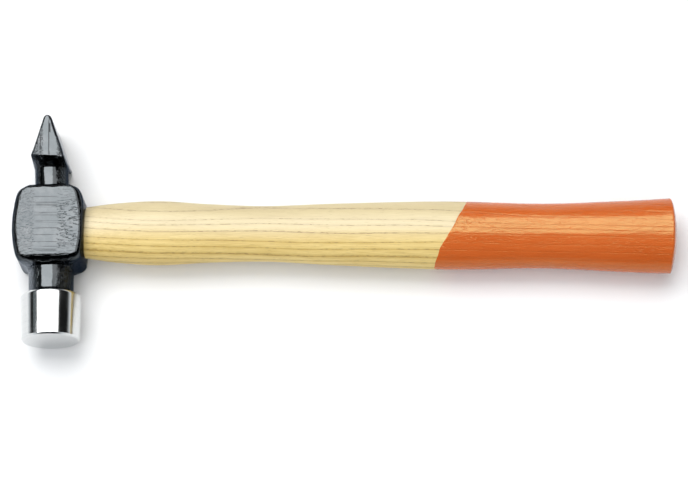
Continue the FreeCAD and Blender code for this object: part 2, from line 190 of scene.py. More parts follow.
# the tree's heart beside and below the handle, and its growth rings
HEART_ACROSS, HEART_BELOW = 58, 12
RING_WIDTH, RING_UNEVENNESS, RING_BEND, RING_DRIFT = 3.4, 1.8, 7.5, 0.006
# share of the way through a growth ring, colour
HICKORY = [
    (0.00, (0.51, 0.340, 0.096)), (0.07, (0.58, 0.405, 0.128)), (0.18, (0.705, 0.545, 0.212)),
    (0.60, (0.745, 0.580, 0.242)), (1.00, (0.690, 0.520, 0.184)),
]
# PALE_HICKORY is mixed in from PALE_SIDE on, on the handle's side towards the softbox: a painted
# sheen
PALE_HICKORY, PALE_SIDE, PORES = (0.50, 0.465, 0.36), (-9, 3), (0.21, 0.135, 0.050)
ORANGE, LIGHT_ORANGE = (0.485, 0.090, 0.0150), (0.550, 0.112, 0.0215)
DARK_ORANGE, LACQUER_TINT = (0.34, 0.065, 0.009), (0.72, 1.0, 0.46, 1.0)

# ---------------------------------------------------------------- numbers of the studio, m

FLOOR_HALF, FLOOR_HEIGHT = 6.0, -0.0002
# place, size and radiance of each lamp
SOFTBOXES = {
    "softbox": ((-1.15, 1.95, 3.0), (3.6, 3.4), 7.9),
    "fall_off": ((1.39, 1.95, 3.0), (1.5, 3.4), 2.8),
}
CAST_SHARE, CAST_BELOW = 0.52, 0.05
GREY_FLAG, GREY_FLAG_COLOUR = ((-4.55, 1.95, 3.0), (3.1, 3.4), 0.16), (0.84, 0.96, 1.0)
FILL = ((-0.5, -1.6, 3.2), (5.0, 4.4), 1.90)
FILL_TOWARD, FILL_COLOUR = (0.1, 0.4, -1.0), (0.94, 0.97, 1.0)
WALL_COLOUR = (0.93, 0.97, 1.0, 1.0)
WALL_FADE = {"From Min": 0.02, "From Max": 0.30, "To Min": 1.0, "To Max": 0.012}
# the camera's aim, the way back from it, distance and roll; its sensor and lens are in mm
CAMERA_AIM, CAMERA_BACK = (0.1561, -0.0088, 0.0162), (0.0461, -0.2993, 0.9530)
CAMERA_DISTANCE, CAMERA_ROLL, CAMERA_CLIP = 1.749, 0.0201, (0.05, 50.0)
SENSOR_WIDTH, LENS = 36.0, 172.67


# ---------------------------------------------------------------- maths

def smooth_step(low, high, value):
    t = np.clip((value - low) / (high - low), 0, 1)
    return t * t * (3 - 2 * t)


def bell(value, middle, spread):
    return np.exp(-((value - middle) / spread) ** 2)


def noise(points, wavelength, seed):
    """Smooth seeded noise from -1 to 1 at points (..., 3)."""
    cells = 32
    lattice = np.random.default_rng(seed).uniform(-1, 1, (cells, cells, cells))
    grid = points / np.asarray(wavelength, float)
    cell = np.floor(grid).astype(int)
    part = grid - cell
    part = part * part * (3 - 2 * part)
    total = np.zeros(points.shape[:-1])
    for corner in np.ndindex(2, 2, 2):
        weight = np.ones_like(total)
        for axis, step in enumerate(corner):
            weight *= part[..., axis] if step else 1 - part[..., axis]
        where = tuple((cell[..., axis] + corner[axis]) % cells for axis in range(3))
        total += weight * lattice[where]
    return total


def depth_noise(points, wavelength, seed):
    """The same noise from 0 to 1."""
    return 0.5 + 0.5 * noise(points, wavelength, seed)


def smooth_max(first, second, blend):
    overlap = np.maximum(blend - np.abs(first - second), 0) / blend
    return np.maximum(first, second) + overlap ** 2 * blend / 4


def march(start, stop, spacing):
    """Places from start to stop, as far apart as rows of (place, distance) say."""
    found = [start]
    while found[-1] < stop:
        found.append(found[-1] + float(np.interp(found[-1], spacing[:, 0], spacing[:, 1])))
    found[-1] = stop
    return np.array(found)


def quarter_turn(count, first_share=0.0):
    """Angles up to a quarter turn, from a share of it."""
    return np.linspace(first_share, 1, count) * math.pi / 2


def hermite(stations, x):
    """Smooth curve through rows of (x, value, value)."""
    known, values = stations[:, 0], stations[:, 1:]
    slopes = np.gradient(values, known, axis=0)
    i = np.clip(np.searchsorted(known, x) - 1, 0, len(known) - 2)
    span = (known[i + 1] - known[i])[:, None]
    t = ((x - known[i])[:, None]) / span
    a, b = values[i], values[i + 1]
    ma, mb = slopes[i] * span, slopes[i + 1] * span
    return (
        a * (2 * t ** 3 - 3 * t ** 2 + 1) + ma * (t ** 3 - 2 * t ** 2 + t)
        + b * (3 * t ** 2 - 2 * t ** 3) + mb * (t ** 3 - t ** 2)
    )


# ---------------------------------------------------------------- meshes

def grid_normals(rings):
    """Outward directions on closed rings of points (ring, around, 3)."""
    around = np.roll(rings, -1, axis=1) - np.roll(rings, 1, axis=1)
    along = np.gradient(rings, axis=0)
    normal = np.cross(around, along)
    normal /= np.linalg.norm(normal, axis=-1, keepdims=True) + 1e-12
    outward = rings - rings.mean(axis=1, keepdims=True)
    if (normal * outward).sum() < 0:
        normal = -normal
    return normal


def ring_faces(rings, around):
    """Quads between neighbouring rings of points."""
    ring, step = np.meshgrid(np.arange(rings - 1), np.arange(around), indexing="ij")
    after = (step + 1) % around
    low, high = ring * around, (ring + 1) * around
    quads = np.stack([low + step, low + after, high + after, high + step], axis=-1)
    return quads.reshape(-1, 4).tolist()


def fan(first, around, middle):
    """Triangles between a ring, which starts at point number first, and a point in its middle."""
    return [[first + step, first + (step + 1) % around, middle] for step in range(around)]


def new_piece(name, points, faces, materials, material_of_face=None):
    """Object from points in mm and its faces, with its normals turned outwards."""
    mesh = bpy.data.meshes.new(name)
    mesh.from_pydata((points * MM).tolist(), [], faces)
    for material in materials:
        mesh.materials.append(material)
    if material_of_face is not None:
        mesh.polygons.foreach_set("material_index", material_of_face)
    shape = bmesh.new()
    shape.from_mesh(mesh)
    bmesh.ops.recalc_face_normals(shape, faces=shape.faces)
    shape.to_mesh(mesh)
    shape.free()
    piece = bpy.data.objects.new(name, mesh)
    bpy.context.scene.collection.objects.link(piece)
    return piece


def shade_smooth(piece):
    piece.data.polygons.foreach_set("use_smooth", [True] * len(piece.data.polygons))
    piece.data.set_sharp_from_angle(angle=SHARP_ANGLE)


def cut(piece, cutters):
    """Take the cutters out of the piece, and then remove them."""
    for cutter in cutters:
        modifier = piece.modifiers.new("cut", "BOOLEAN")
        modifier.operation = "DIFFERENCE"
        modifier.solver = "EXACT"
        modifier.object = cutter
    graph = bpy.context.evaluated_depsgraph_get()
    result = bpy.data.meshes.new_from_object(piece.evaluated_get(graph))
    piece.modifiers.clear()
    piece.data = result
    for cutter in cutters:
        bpy.data.objects.remove(cutter)


# ---------------------------------------------------------------- head

def poll_profile():
    """Places along the head and radii, from the middle of the face to the neck."""
    crown = CROWN_RADIUS - math.sqrt(CROWN_RADIUS ** 2 - FACE_RADIUS ** 2)
    radius = np.linspace(FIRST_RADIUS, FACE_RADIUS - RIM_CHAMFER, FACE_RINGS)
    fall = CROWN_RADIUS - np.sqrt(CROWN_RADIUS ** 2 - radius ** 2)
    face = np.stack([-RIM - crown + fall, radius], axis=1)
    chamfer_end = np.array([[-RIM + RIM_CHAMFER, FACE_RADIUS + RIM_SWELL]])
    shares = np.linspace(FIRST_SHARE, 1, CHAMFER_RINGS)[:, None]
    chamfer = face[-1] + (chamfer_end - face[-1]) * shares
    side_end = -SHOULDER - SHOULDER_ROUND
    side_place = np.linspace(chamfer[-1, 0] + FIRST_STEP, side_end, SIDE_RINGS)
    side_radius = np.interp(side_place, [-RIM, side_end], [FACE_RADIUS, TOP_RADIUS])
    side = np.stack([side_place, side_radius], axis=1)
    turn = quarter_turn(SHOULDER_RINGS, FIRST_SHARE)
    round_place = side_end + SHOULDER_ROUND * np.sin(turn)
    round_radius = TOP_RADIUS - SHOULDER_ROUND + SHOULDER_ROUND * np.cos(turn)
    shoulder = np.stack([round_place, round_radius], axis=1)
    turn = quarter_turn(HOLLOW_RINGS)
    hollow_place = -SHOULDER + NECK_FILLET * (1 - np.cos(turn))
    hollow_radius = NECK_RADIUS + NECK_FILLET * (1 - np.sin(turn))
    hollow = np.stack([hollow_place, hollow_radius], axis=1)
    return np.concatenate([face, chamfer, side, shoulder, hollow])


def rounded_end(place, end, radius, half):
    """Half size near an end that is rounded off, falling away steeply beyond it."""
    inside = np.clip(end - place, 0, radius)
    rounded = half - radius + np.sqrt(np.maximum(radius ** 2 - (radius - inside) ** 2, 0))
    beyond = half - radius - STEEPNESS_PAST_END * (place - end)
    return np.where(place < end, rounded, beyond)


def block_sections(y):
    """Half width, half depth and corner radius of the head from the neck to the wedge."""
    block_width = BLOCK_HALF_WIDTH - y ** 2 / (2 * BLOCK_SIDE_RADIUS)
    poll_side = rounded_end(-y, POLL_END, PLAN_CORNER, block_width)
    peen_side = rounded_end(y, PEEN_END, PLAN_CORNER, block_width)
    width = np.minimum(poll_side, peen_side)
    poll_depth = rounded_end(-y, POLL_END, POLL_CHEEK_EDGE, BLOCK_HALF_DEPTH)
    peen_depth = rounded_end(y, PEEN_END, CHEEK_EDGE, BLOCK_HALF_DEPTH)
    depth = np.minimum(poll_depth, peen_depth)
    neck = np.where(y < 0, NECK_RADIUS, PEEN_NECK)
    half_width = smooth_max(width, neck, NECK_BLEND)
    half_depth = smooth_max(depth, neck, NECK_BLEND)
    into_block = smooth_step(0, 1, (half_depth - neck) / (BLOCK_HALF_DEPTH - neck))
    radius = neck + (CHEEK_EDGE - neck) * into_block
    return half_width, half_depth, radius


def peen_sections(y):
    """The same for the flare and the wedge."""
    tip_middle = PEEN_TIP - TIP_RADIUS
    tip_start = tip_middle + TIP_RADIUS * TIP_SINE
    tip_half = TIP_RADIUS * math.sqrt(1 - TIP_SINE ** 2)
    flank = np.interp(y, [PEEN_BASE, tip_start], [PEEN_HALF_WIDTH, tip_half])
    tip_square = TIP_RADIUS ** 2 - (y - tip_middle) ** 2
    tip = np.sqrt(np.maximum(tip_square, TIP_END_HALF_WIDTH ** 2))
    half_width = np.where(y < tip_start, flank, tip)
    opening = np.clip((y - FLARE_START) / (PEEN_BASE - FLARE_START), 0, 1) ** FLARE_HOLLOW
    flare = PEEN_NECK + (PEEN_HALF_DEPTH - PEEN_NECK) * opening
    past = np.clip(y - (PEEN_TIP - PEEN_EDGE), 0, PEEN_EDGE)
    end_round = PEEN_EDGE - np.sqrt(PEEN_EDGE ** 2 - past ** 2)
    half_depth = flare - end_round
    opened = smooth_step(FLARE_START, PEEN_BASE, y)
    radius = PEEN_NECK + (PEEN_CORNER - PEEN_NECK) * opened
    return half_width, half_depth, np.minimum(radius, half_width)


def rounded_rectangles(half_width, half_depth, radius, around):
    """Points (section, around, 2) of rounded rectangles, closer together on their corners."""
    quarter = around // 4
    radius = np.minimum(radius, np.minimum(half_width, half_depth))
    upright = (half_depth - radius)[:, None]
    corner = (radius * math.pi)[:, None]
    level = (half_width - radius)[:, None]
    total = upright + corner + level

    def points(share):
        p = share[None, :] * total
        turn = np.clip((p - upright) / corner, 0, 1) * math.pi / 2
        r, a = radius[:, None], half_width[:, None]
        x = a - r + r * np.cos(turn) - np.clip(p - upright - corner, 0, None)
        z = np.minimum(p, upright) + r * np.sin(turn)
        return x, z

    forth = np.arange(quarter) / quarter
    back = 1 - forth
    parts = []
    for share, sign_x, sign_z in ((forth, 1, 1), (back, -1, 1), (forth, -1, -1), (back, 1, -1)):
        x, z = points(share)
        parts.append(np.stack([sign_x * x, sign_z * z], axis=-1))
    return np.concatenate(parts, axis=1)


def head_rings():
    """Rings of points along the head's own axis."""
    poll = poll_profile()
    block_end = FLARE_START - PEEN_STEP
    block = march(poll[-1, 0] + BLOCK_STEP, block_end, BLOCK_SPACING)
    peen_end = PEEN_TIP - TIP_RADIUS * (1 - TIP_SINE)
    peen = march(block[-1] + PEEN_STEP, peen_end, PEEN_SPACING)
    tip_turn = np.radians(np.linspace(*TIP_TURN, TIP_RINGS))
    tip = PEEN_TIP - TIP_RADIUS + TIP_RADIUS * np.sin(tip_turn)
    y = np.concatenate([poll[:, 0], block, peen, tip])
    sections = [np.stack([poll[:, 1]] * 3), np.stack(block_sections(block))]
    sections.append(np.stack(peen_sections(np.concatenate([peen, tip]))))
    half_width, half_depth, radius = np.concatenate(sections, axis=1)
    flat = rounded_rectangles(half_width, half_depth, radius, HEAD_AROUND)
    along = np.broadcast_to(y[:, None], flat.shape[:2])
    return np.stack([flat[..., 0], along, flat[..., 1]], axis=-1)


def forging_depth(rings, level):
    """Depth of the forging marks, where level is 1 on the ground cheeks and 0 elsewhere."""
    wedge = smooth_step(*WEDGE_FROM, rings[..., 1])
    broad = BROAD_DEPTH - BROAD_DEPTH_LESS_ON_CHEEKS * level
    middle = MIDDLE_DEPTH + MIDDLE_DEPTH_MORE_ON_WEDGE * wedge
    middle = middle * (1 - MIDDLE_SHARE_LESS_ON_CHEEKS * level)
    fine = FINE_DEPTH + FINE_DEPTH_MORE_ON_WEDGE * wedge
    fine = fine * (1 - FINE_SHARE_LESS_ON_CHEEKS * level)
    depth = depth_noise(rings, *BROAD_MARKS) * broad
    depth = depth + depth_noise(rings, *MIDDLE_MARKS) * middle
    return depth + depth_noise(rings, *FINE_MARKS) * fine


def forge(rings):
    """Marks of forging, about the CAD surface off the cheeks and pressed into it on them."""
    x, y, z = rings[..., 0], rings[..., 1], rings[..., 2]
    normal = grid_normals(rings)
    height = np.abs(z)
    forged = smooth_step(*FORGED_FROM, y)
    cheek = smooth_step(*CHEEK_FROM_POLL, y) * smooth_step(*CHEEK_FROM_PEEN, y)
    cheek = cheek * smooth_step(*CHEEK_HEIGHTS, height)
    wedge_cheek = smooth_step(*WEDGE_CHEEK_HEIGHTS, height) * smooth_step(*WEDGE_CHEEK_FROM, y)
    level = np.maximum(cheek, wedge_cheek)
    depth = forging_depth(rings, level)
    grooves = sum(bell(x, place, half_width) for place, half_width in GROOVES)
    depth = depth + wedge_cheek * grooves * GROOVE_DEPTH * smooth_step(*GROOVES_END, y)
    depth = depth - MEAN_DEPTH * (1 - level)
    right_flank = smooth_step(*FACING_RIGHT, normal[..., 0]) * smooth_step(*RIGHT_FLANK_FROM, y)
    depth = depth * (1 - SHARE_LESS_ON_RIGHT_FLANK * right_flank)
    return rings - normal * (depth * forged)[..., None]


def settle(rings):
    """The wedge's slight lean and twist, its slanted base, and the ragged base and block."""
    x, y, z = rings[..., 0], rings[..., 1], rings[..., 2]
    lean = -PEEN_LEAN * np.clip(y, 0, None) - WEDGE_TWIST * z
    lean = lean * smooth_step(*LEAN_FROM, y)
    slant = -BASE_SLANT * x * bell(y, PEEN_BASE, SLANT_REACH) * smooth_step(*SLANT_HEIGHTS, z)
    ragged = noise(rings, *RAGGED_BASE) * bell(y, PEEN_BASE, RAGGED_BASE_REACH)
    block_ends = sum(bell(y, end, RAGGED_ENDS_REACH) for end in BLOCK_ENDS)
    block_ends = block_ends * smooth_step(*RAGGED_HEIGHTS, np.abs(z))
    ragged = ragged + noise(rings, *RAGGED_ENDS) * block_ends
    return np.stack([x + lean, y + slant + RAGGEDNESS * ragged, z], axis=-1)


def strip_cap(first, around):
    """Faces that close a flat ring by joining its two sides."""
    half = around // 2
    quarter = around // 4
    faces = []
    for step in range(quarter + 1, quarter + half):
        mirror = (half - step) % around
        after, mirror_after = (step + 1) % around, (half - step - 1) % around
        face = [first + step, first + after, first + mirror_after, first + mirror]
        face = list(dict.fromkeys(face))
        if len(face) > 2:
            faces.append(face)
    faces.append([first + quarter, first + quarter + 1, first + (half - quarter - 1) % around])
    return faces


def eye_half_sizes(x):
    length = np.interp(x, EYE[:, 0], EYE[:, 1])
    width = np.interp(x, EYE[:, 0], EYE[:, 2])
    return length, width


def eye_cutter():
    """Hourglass through the block with its rims broken."""
    turn = (np.arange(EYE_AROUND) + EYE_FIRST_POINT) / EYE_AROUND * 2 * math.pi
    rings = []
    for side in (-1, 1):
        for below in EYE_RING_DEPTHS:
            x = side * (BLOCK_HALF_WIDTH - below)
            length, width = eye_half_sizes(x)
            grown = np.clip(EYE_RIM - below, 0, 2 * EYE_RIM)
            y = (length + grown) * np.cos(turn)
            z = (width + grown) * np.sin(turn)
            bow = y ** 2 / (2 * BLOCK_SIDE_RADIUS)
            surface = np.full_like(y, EYE_FLAT) if side > 0 else bow - BLOCK_HALF_WIDTH
            rings.append(np.stack([surface - side * below, y, EYE_HEIGHT + z], axis=-1))
    half = len(EYE_RING_DEPTHS)
    points = np.concatenate(rings[:half] + rings[half:][::-1])
    faces = ring_faces(2 * half, EYE_AROUND)
    faces.append(list(range(EYE_AROUND)))
    faces.append(list(range(len(points) - EYE_AROUND, len(points))))
    return new_piece("eye_cutter", points, faces, [])


def place_head(rings):
    """Rings turned by the hang angle and flattened at the handle."""
    x, y, z = rings[..., 0], rings[..., 1], rings[..., 2]
    cosine, sine = math.cos(HANG_ANGLE), math.sin(HANG_ANGLE)
    turned = np.stack([x * cosine - y * sine, x * sine + y * cosine, z + EYE_HEIGHT], axis=-1)
    in_block = smooth_step(*FLAT_FROM_POLL, y) * smooth_step(*FLAT_FROM_PEEN, y)
    flat = EYE_FLAT + FULLNESS * smooth_step(*FULLNESS_SPAN, z)
    flattened = -smooth_max(-turned[..., 0], -flat, FLAT_BLEND)
    turned[..., 0] += (flattened - turned[..., 0]) * in_block
    return turned


def make_head(paint, steel):
    rings = place_head(settle(forge(head_rings())))
    count, around = rings.shape[:2]
    low, high = (np.array(corner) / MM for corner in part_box("hammer_head"))
    points = np.clip(rings.reshape(-1, 3), low, high)
    points = np.concatenate([points, rings[0].mean(axis=0)[None, :]])
    sides = ring_faces(count, around)
    face = fan(0, around, len(points) - 1)
    cap = strip_cap((count - 1) * around, around)
    bright_rings = FACE_RINGS + CHAMFER_RINGS + SIDE_RINGS + BRIGHT_SHOULDER_RINGS
    bright = bright_rings * around
    material = [1] * bright + [0] * (len(sides) - bright) + [1] * len(face) + [0] * len(cap)
    head = new_piece("forged_head", points, sides + face + cap, [paint, steel], material)
    cut(head, [eye_cutter()])
    shade_smooth(head)
    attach(head, "root")
    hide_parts("hammer_head")


# ---------------------------------------------------------------- handle

def handle_half_sizes(x):
    """Half width and half thickness of the handle, its tenon included."""
    shaft = hermite(STATIONS, np.clip(x, STATIONS[0, 0], STATIONS[-1, 0]))
    tenon = np.stack(eye_half_sizes(x), axis=1) - TENON_GAP
    share = np.clip((x - SHOULDER_START) / (STATIONS[0, 0] - SHOULDER_START), 0, 1)[:, None]
    return tenon * (1 - share) + shaft * share


def lacquer_edge(turn):
    """Where the dipped lacquer ends, round the handle."""
    wave = sum(depth * np.sin(waves * turn + start) for depth, waves, start in LACQUER_WAVES)
    return LACQUER_LINE + LACQUER_SLANT * np.sin(turn) + wave


def handle_rings(turn):
    """Rings along the handle, and the number of the first lacquered one."""
    bare = march(-TENON_END, LACQUER_LINE, BARE_SPACING)
    lacquered = march(LACQUER_LINE + LACQUER_STEP, SHAFT_END, LACQUERED_SPACING)
    place = np.concatenate([bare, lacquered])
    shift = lacquer_edge(turn) - LACQUER_LINE
    x = place[:, None] + shift[None, :] * bell(place, LACQUER_LINE, LACQUER_REACH)[:, None]
    sizes = handle_half_sizes(x.ravel()).reshape(x.shape + (2,))
    coat = LACQUER_DEPTH * smooth_step(0, LACQUER_LIP, place - LACQUER_LINE)
    sizes = sizes + coat[:, None, None]
    # turn 0 is up, and a quarter turn is towards the peen
    y, z = sizes[..., 0] * np.sin(turn), sizes[..., 1] * np.cos(turn)
    return np.stack([x, y, z], axis=-1), len(bare)


def dome_place(away_squared):
    """Place of the butt's dome at a squared distance from the handle's axis."""
    return BUTT_APEX - DOME_RADIUS + np.sqrt(DOME_RADIUS ** 2 - away_squared)


def butt_rings(last, turn):
    """Rounded rim and shallow dome that close the butt."""
    base = last[:, 1:]
    sizes = hermite(STATIONS, np.array([BUTT_OUTLINE]))[0] + LACQUER_DEPTH
    full = np.stack([sizes[0] * np.sin(turn), sizes[1] * np.cos(turn)], axis=1)
    reach = np.linalg.norm(full, axis=1)
    start = dome_place(reach ** 2) - BUTT_ROUND
    rings = []
    for share in np.linspace(*BUTT_SIDE_SHARES, BUTT_SIDE_RINGS):
        outline = base + (full - base) * share
        rings.append(np.column_stack([last[:, 0] + (start - last[:, 0]) * share, outline]))
    for angle in quarter_turn(BUTT_ROUND_RINGS, FIRST_RIM_SHARE):
        inwards = 1 - BUTT_ROUND * (1 - np.cos(angle)) / reach
        outline = full * inwards[:, None]
        rings.append(np.column_stack([start + BUTT_ROUND * np.sin(angle), outline]))
    inner = rings[-1][:, 1:]
    for share in np.linspace(*DOME_SHARES, DOME_RINGS):
        outline = inner * share
        dome = dome_place((outline ** 2).sum(axis=1))
        rings.append(np.column_stack([np.minimum(dome, BUTT_APEX - DOME_INSET), outline]))
    return np.array(rings)


def tenon_rings(first):
    """Tenon's end, bowed like the block's side, from its middle out to its rim."""
    rings = []
    for share in np.append(np.linspace(*TENON_SHARES, TENON_RINGS), TENON_RIM_SHARE):
        outline = first[:, 1:] * share
        bow = outline[:, 0] ** 2 / (2 * BLOCK_SIDE_RADIUS)
        rings.append(np.column_stack([-TENON_END + bow, outline]))
    return np.array(rings)


def waver_and_bow(rings):
    """Rings with the shaft's slight waver and its bow towards the poll."""
    x = rings[..., 0]
    on_shaft = smooth_step(*WAVER_FROM, x) * smooth_step(*WAVER_TO, x)
    waver = sum(noise(rings, lengths, seed) * depth for depth, lengths, seed in WAVERS)
    outwards = rings * np.array([0, 1, 1])
    outwards /= np.linalg.norm(outwards, axis=-1, keepdims=True) + 1e-9
    shaped = rings + outwards * (waver * on_shaft)[..., None]
    shaped[..., 1] -= SIDEWAYS_BOW * smooth_step(*BOW_FROM, x) * smooth_step(*BOW_TO, x)
    return shaped


def taper_cutter(name, sizes, flat, middle=0.0):
    """Wedge-shaped cutter from past the tenon's end. flat wedges are thin along Z."""
    root, half_root, half_top, half_across = sizes
    half_start = half_top + (half_top - half_root) * CUTTER_OVERSHOOT
    points = []
    for x, half in ((CUTTER_START, half_start), (root, half_root)):
        for thin, across in ((-1, -1), (1, -1), (1, 1), (-1, 1)):
            thin, across = thin * half, across * half_across
            y, z = (across, thin) if flat else (middle + thin, across)
            points.append((x, y, EYE_HEIGHT + z))
    faces = [(0, 1, 2, 3), (4, 5, 6, 7)]
    faces += [(i, (i + 1) % 4, 4 + (i + 1) % 4, 4 + i) for i in range(4)]
    return new_piece(name, np.array(points), faces, [])


def make_handle(wood, lacquer):
    turn = np.arange(HANDLE_AROUND) / HANDLE_AROUND * 2 * math.pi
    rings, first_lacquered = handle_rings(turn)
    bow = rings[..., 1] ** 2 / (2 * BLOCK_SIDE_RADIUS)
    rings[..., 0] += bow * smooth_step(TENON_BOW_FROM, -TENON_END, rings[..., 0])
    tenon, butt = tenon_rings(rings[0]), butt_rings(rings[-1], turn)
    rings = waver_and_bow(np.concatenate([tenon, rings, butt]))
    count, around = rings.shape[:2]
    middles = np.array([rings[0].mean(axis=0), rings[-1].mean(axis=0)])
    middles[1, 0] = BUTT_APEX - APEX_INSET
    points = np.concatenate([rings.reshape(-1, 3), middles]) + np.array([0, 0, EYE_HEIGHT])
    faces = ring_faces(count, around)
    bare = (len(tenon) + first_lacquered - 1) * around
    material = [0] * bare + [1] * (len(faces) - bare)
    top = fan(0, around, len(points) - 2)
    bottom = fan((count - 1) * around, around, len(points) - 1)
    for pair in zip(top, bottom):
        faces += pair
        material += [0, 1]
    handle = new_piece("handle_shaft", points, faces, [wood, lacquer], material)
    slots = [taper_cutter("slot", SLOT, False, side) for side in (-SLOT_PLACE, SLOT_PLACE)]
    cut(handle, [taper_cutter("kerf", KERF, True)] + slots)
    shade_smooth(handle)
    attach(handle, "root")
    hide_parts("handle")


# ---------------------------------------------------------------- materials

class Nodes:
    """Short way to write a material's node tree."""

    def __init__(self, name):
        self.material = bpy.data.materials.new(name)
        self.material.use_nodes = True
        self.tree = self.material.node_tree
        self.tree.nodes.clear()
        self.place = self.add("TexCoord").outputs["Object"]

    def add(self, kind, inputs=None, **settings):
        node = self.tree.nodes.new("ShaderNode" + kind)
        for name, value in settings.items():
            setattr(node, name, value)
        for name, value in (inputs or {}).items():
            self.feed(node.inputs[name], value)
        return node

    def feed(self, entry, value):
        """Give an input of a node its value, or link it to another node's output."""
        if isinstance(value, bpy.types.NodeSocket):
            self.tree.links.new(value, entry)
        else:
            entry.default_value = value

    def math(self, operation, first, second=0.0):
        return self.add("Math", {0: first, 1: second}, operation=operation).outputs[0]

    def plus(self, first, second):
        return self.math("ADD", first, second)

    def minus(self, first, second):
        return self.math("SUBTRACT", first, second)

    def times(self, first, second):
        return self.math("MULTIPLY", first, second)

    def most(self, first, second):
        return self.math("MAXIMUM", first, second)

    def size(self, value):
        return self.math("ABSOLUTE", value)

    def distance(self, first, second):
        """Distance from the point where both numbers are 0."""
        squares = self.plus(self.times(first, first), self.times(second, second))
        return self.math("SQRT", squares)

    def point(self, x, y=0.0):
        return self.add("CombineXYZ", {0: x, 1: y, 2: 0.0}).outputs[0]

    def spread(self, value, low, high, to_low=0.0, to_high=1.0):
        """Value taken from one span to another, smoothly and held at its ends."""
        inputs = {
            "Value": value, "From Min": low, "From Max": high,
            "To Min": to_low, "To Max": to_high,
        }
        return self.add("MapRange", inputs, interpolation_type="SMOOTHSTEP").outputs["Result"]

    def past(self, place, edge, before=0.0, after=1.0):
        """Number that changes across an edge, which is a span in mm."""
        return self.spread(place, edge[0] * MM, edge[1] * MM, before, after)

    def scaled(self, lengths, vector=None):
        """Place counted in the given lengths, in mm, along X, Y and Z."""
        factors = [1 / (length * MM) for length in lengths]
        inputs = {0: vector or self.place, 1: factors}
        return self.add("VectorMath", inputs, operation="MULTIPLY").outputs[0]

    def noise(self, lengths, detail=2.0, rough=0.5, distortion=0.0, vector=None):
        inputs = {
            "Vector": self.scaled(lengths, vector), "Scale": 1.0, "Detail": detail,
            "Roughness": rough, "Distortion": distortion,
        }
        return self.add("TexNoise", inputs).outputs["Fac"]

    def split(self):
        return self.add("SeparateXYZ", {0: self.place}).outputs

    def mix(self, share, first, second, blend="MIX"):
        node = self.add("Mix", {0: share}, data_type="RGBA", blend_type=blend)
        for number, colour in ((6, first), (7, second)):
            self.feed(node.inputs[number], (*colour, 1.0) if isinstance(colour, tuple) else colour)
        return node.outputs[2]

    def ramp(self, value, stops):
        node = self.add("ValToRGB", {"Fac": value})
        points = node.color_ramp.elements
        while len(points) < len(stops):
            points.new(0.5)
        for point, (place, colour) in zip(points, stops):
            point.position = place
            point.color = (*colour, 1.0)
        return node.outputs["Color"]

    def shade(self, value, low, high, darkest):
        """From the darkest colour at the low value to white at the high one."""
        return self.ramp(value, [(low, darkest), (high, (1.0, 1.0, 1.0))])

    def bump(self, height, depth, below=None):
        inputs = {"Height": height, "Strength": 1.0, "Distance": depth * MM}
        if below is not None:
            inputs["Normal"] = below
        return self.add("Bump", inputs).outputs["Normal"]

    def bumps(self, layers):
        """Normal after pairs of (height, depth in mm), one on top of the other."""
        normal = None
        for height, depth in layers:
            normal = self.bump(height, depth, normal)
        return normal

    def finish(self, **inputs):
        named = {name.replace("_", " "): value for name, value in inputs.items()}
        shader = self.add("BsdfPrincipled", named)
        self.add("OutputMaterial", {"Surface": shader.outputs["BSDF"]})
        return self.material


def head_place(n):
    """Place across and along the head, turned with it."""
    x, y, z = n.split()
    cosine, sine = math.cos(HANG_ANGLE), math.sin(HANG_ANGLE)
    across = n.plus(n.times(x, cosine), n.times(y, sine))
    along = n.minus(n.times(y, cosine), n.times(x, sine))
    return across, along, z


def paint_zones(n):
    """Strength of each kind of surface under the paint, and of the brighter reflections painted on
    the necks' left sides and the wedge's right flank: 0 is none, and rugged parts pass 1.
    """
    across, along, up = head_place(n)
    wobble = n.minus(n.noise((4.0, 2.0, 4.0), detail=3), 0.5)
    waved = n.plus(across, n.times(wobble, ZONE_WOBBLE * MM))
    on_block = n.times(n.past(along, BLOCK_FROM_POLL), n.past(along, BLOCK_FROM_PEEN))
    on_left = n.times(n.past(waved, BLOCK_LEFT), on_block)
    on_right = n.times(n.past(waved, BLOCK_RIGHT), on_block)
    middle = n.minus(n.minus(on_block, on_left), on_right)
    beside = n.past(n.size(n.plus(waved, NECK_MIDDLE * MM)), BESIDE_NECK_MIDDLE)
    off_block = n.times(n.minus(1.0, on_block), beside)
    from_middle = n.size(n.minus(up, EYE_HEIGHT * MM))
    under_cheeks = n.times(n.past(from_middle, UNDER_CHEEKS), on_block)
    on_wedge = n.past(along, ON_WEDGE)
    wedge_left = n.times(n.past(waved, WEDGE_LEFT, 0.0, WEDGE_LEFT_SCALE), on_wedge)
    from_base = n.minus(along, PEEN_BASE * MM)
    right_flank = n.past(n.plus(across, n.times(from_base, RIGHT_FLANK_SLOPE)), RIGHT_FLANK)
    right_flank = n.times(right_flank, on_wedge)
    left_side = n.times(n.past(across, LEFT_SIDE), n.past(along, LEFT_SIDE_END))
    left_side = n.times(left_side, n.minus(1.0, on_block))
    rugged = n.most(n.most(off_block, wedge_left), under_cheeks)
    rugged = n.times(n.times(rugged, RUGGEDNESS), n.minus(1.0, right_flank))
    return {
        "scaly": n.most(on_left, rugged), "flaked": on_right, "ground": middle,
        # the bare zone is no bare metal: its near-white tint paints brighter reflections on the
        # wedge's right flank and the necks' left sides
        "bare": n.most(right_flank, n.times(left_side, LEFT_SIDE_SHARE)),
        "left_side": left_side, "midway": n.past(n.size(along), MIDWAY, *MIDWAY_SHARES),
    }


